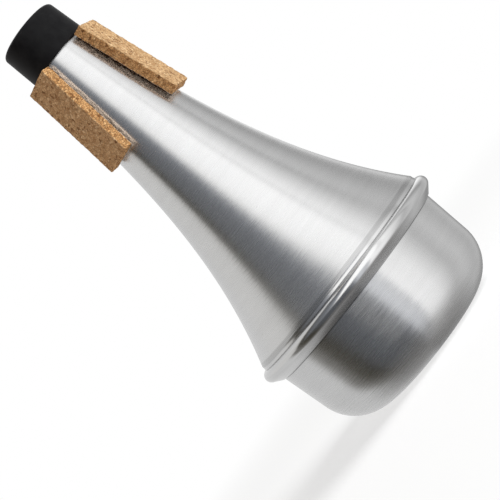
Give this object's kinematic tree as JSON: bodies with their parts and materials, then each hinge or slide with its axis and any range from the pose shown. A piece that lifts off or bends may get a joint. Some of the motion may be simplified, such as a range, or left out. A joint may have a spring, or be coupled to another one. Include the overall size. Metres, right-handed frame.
{
  "type": "trumpet straight mute",
  "caption": "Spun aluminium straight mute for a trumpet bell: flared hollow cone closed by a round cup, open rubber-sleeved neck and flat cork strips that wedge in the bell.",
  "frame": {"origin": "centre of the flat bottom of the cup, on the axis of the mute", "axes": "+Z runs along the axis from the bottom of the cup to the open neck; +X points at the middle of the first cork strip"},
  "size_m": [0.0828, 0.0828, 0.165],
  "materials": {
    "spun_aluminium": "satin, with fine spinning lines round the axis and a few small pits",
    "sleeve_rubber": "smooth satin black",
    "granulated_cork": "matt agglomerated cork, tan granules with dark brown specks",
    "contact_glue": "dried brown contact glue, slightly glossy"
  },
  "bodies": {
    "root": {"cone_shell": "spun_aluminium", "base_cup": "spun_aluminium", "neck_sleeve": "sleeve_rubber", "cork_strip_1": "granulated_cork", "cork_strip_2": "granulated_cork", "cork_strip_3": "granulated_cork", "cork_glue_1": "contact_glue", "cork_glue_2": "contact_glue", "cork_glue_3": "contact_glue"}
  },
  "joints": []
}
